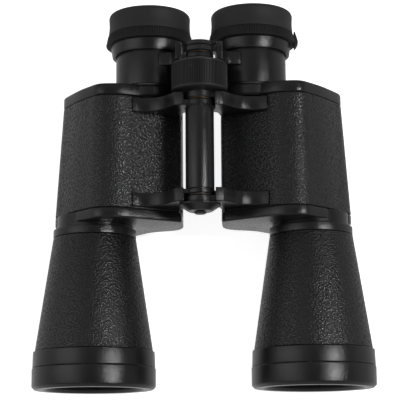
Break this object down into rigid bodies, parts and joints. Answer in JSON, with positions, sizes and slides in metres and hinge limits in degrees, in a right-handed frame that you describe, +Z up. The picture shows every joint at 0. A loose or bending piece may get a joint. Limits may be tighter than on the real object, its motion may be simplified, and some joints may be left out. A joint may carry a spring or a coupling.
{
  "type": "binoculars",
  "caption": "Centre-focus Porro-prism binoculars with folding hinge, ribbed focus wheel, rubber eyecups and hooded 50 mm objectives.",
  "frame": {"origin": "on the floor under the middle of the binoculars as they lie with the hinge on top", "axes": "+Y along the optical axes towards the eyecups, +X towards the half with the diopter ring, +Z up"},
  "size_m": [0.18, 0.2, 0.0805],
  "materials": {
    "black_paint": "satin black paint with a fine orange-peel surface on cast and turned light alloy",
    "leatherette": "black pebble-grain leatherette, semi-matt",
    "eyecup_rubber": "matt black moulded rubber",
    "focus_rubber": "matt black rubber with fine ribs",
    "bronze": "dull bronze, thin bearing washers",
    "steel": "bare turned steel",
    "dark_metal": "matt black anodised",
    "lens_glass": "clear glass with a faint violet-blue coating",
    "prism_glass": "clear crown glass"
  },
  "bodies": {
    "left_half": {"left_housing": "black_paint", "left_housing_leatherette": "leatherette", "left_rear_cover": "black_paint", "left_front_cover": "black_paint", "left_prism_shelf": "dark_metal", "left_rear_prism": "prism_glass", "left_rear_prism_clip": "steel", "left_front_prism": "prism_glass", "left_front_prism_clip": "steel", "left_barrel": "black_paint", "left_barrel_leatherette": "leatherette", "left_objective_ring": "black_paint", "left_objective_hood": "black_paint", "left_objective_cell": "dark_metal", "left_crown_lens": "lens_glass", "left_flint_lens": "lens_glass", "left_guide_sleeve": "steel", "hinge_axle": "steel", "hinge_tube": "black_paint", "upper_hinge_washer": "bronze", "lower_hinge_washer": "bronze", "hinge_cap": "black_paint", "hinge_cap_screw": "black_paint"},
    "right_half": {"right_housing": "black_paint", "right_housing_leatherette": "leatherette", "right_rear_cover": "black_paint", "right_front_cover": "black_paint", "right_prism_shelf": "dark_metal", "right_rear_prism": "prism_glass", "right_rear_prism_clip": "steel", "right_front_prism": "prism_glass", "right_front_prism_clip": "steel", "right_barrel": "black_paint", "right_barrel_leatherette": "leatherette", "right_objective_ring": "black_paint", "right_objective_hood": "black_paint", "right_objective_cell": "dark_metal", "right_crown_lens": "lens_glass", "right_flint_lens": "lens_glass", "right_guide_sleeve": "steel"},
    "focus_wheel": {"focus_wheel": "focus_rubber"},
    "focus_bridge": {"focus_spindle": "steel", "bridge_hub_cap": "black_paint", "bridge_hub_washer": "bronze", "left_bridge_arm": "black_paint", "left_eyepiece_tube": "black_paint", "left_eyepiece_collar": "black_paint", "left_rib_band": "eyecup_rubber", "left_eyecup": "eyecup_rubber", "left_ocular_cell": "dark_metal", "left_eye_lens": "lens_glass", "left_field_lens": "lens_glass"},
    "right_carriage": {"right_bridge_arm": "black_paint", "right_eyepiece_tube": "black_paint", "right_eyepiece_collar": "black_paint"},
    "diopter": {"diopter_ring": "eyecup_rubber", "right_eyecup": "eyecup_rubber"},
    "right_ocular": {"right_ocular_cell": "dark_metal", "right_eye_lens": "lens_glass", "right_field_lens": "lens_glass"}
  },
  "joints": [
    {"name": "hinge_fold", "type": "hinge", "parent": "left_half", "child": "right_half", "pos_m": [0, 0, 0.066], "axis": [0, -1, 0], "range_deg": [-3, 68]},
    {"name": "focus_turn", "type": "hinge", "parent": "left_half", "child": "focus_wheel", "pos_m": [0, 0.0585, 0.066], "axis": [0, 1, 0], "range_deg": [0, 322]},
    {"name": "bridge_slide", "type": "slide", "parent": "left_half", "child": "focus_bridge", "axis": [0, 1, 0], "range_m": [0, 0.007]},
    {"name": "right_carriage_slide", "type": "slide", "parent": "right_half", "child": "right_carriage", "axis": [0, 1, 0], "range_m": [0, 0.0072]},
    {"name": "diopter_turn", "type": "hinge", "parent": "right_carriage", "child": "diopter", "pos_m": [0.0275, 0.0852, 0.042], "axis": [0, 1, 0], "range_deg": [-61, 61]},
    {"name": "ocular_slide", "type": "slide", "parent": "right_carriage", "child": "right_ocular", "axis": [0, 1, 0], "range_m": [-0.0014, 0.0014]}
  ],
  "couplings": [
    {"joint": "focus_turn", "follows": "bridge_slide", "rad_per_m": 797.86},
    {"joint": "right_carriage_slide", "follows": "bridge_slide", "ratio": 1},
    {"joint": "diopter_turn", "follows": "ocular_slide", "rad_per_m": 748}
  ]
}
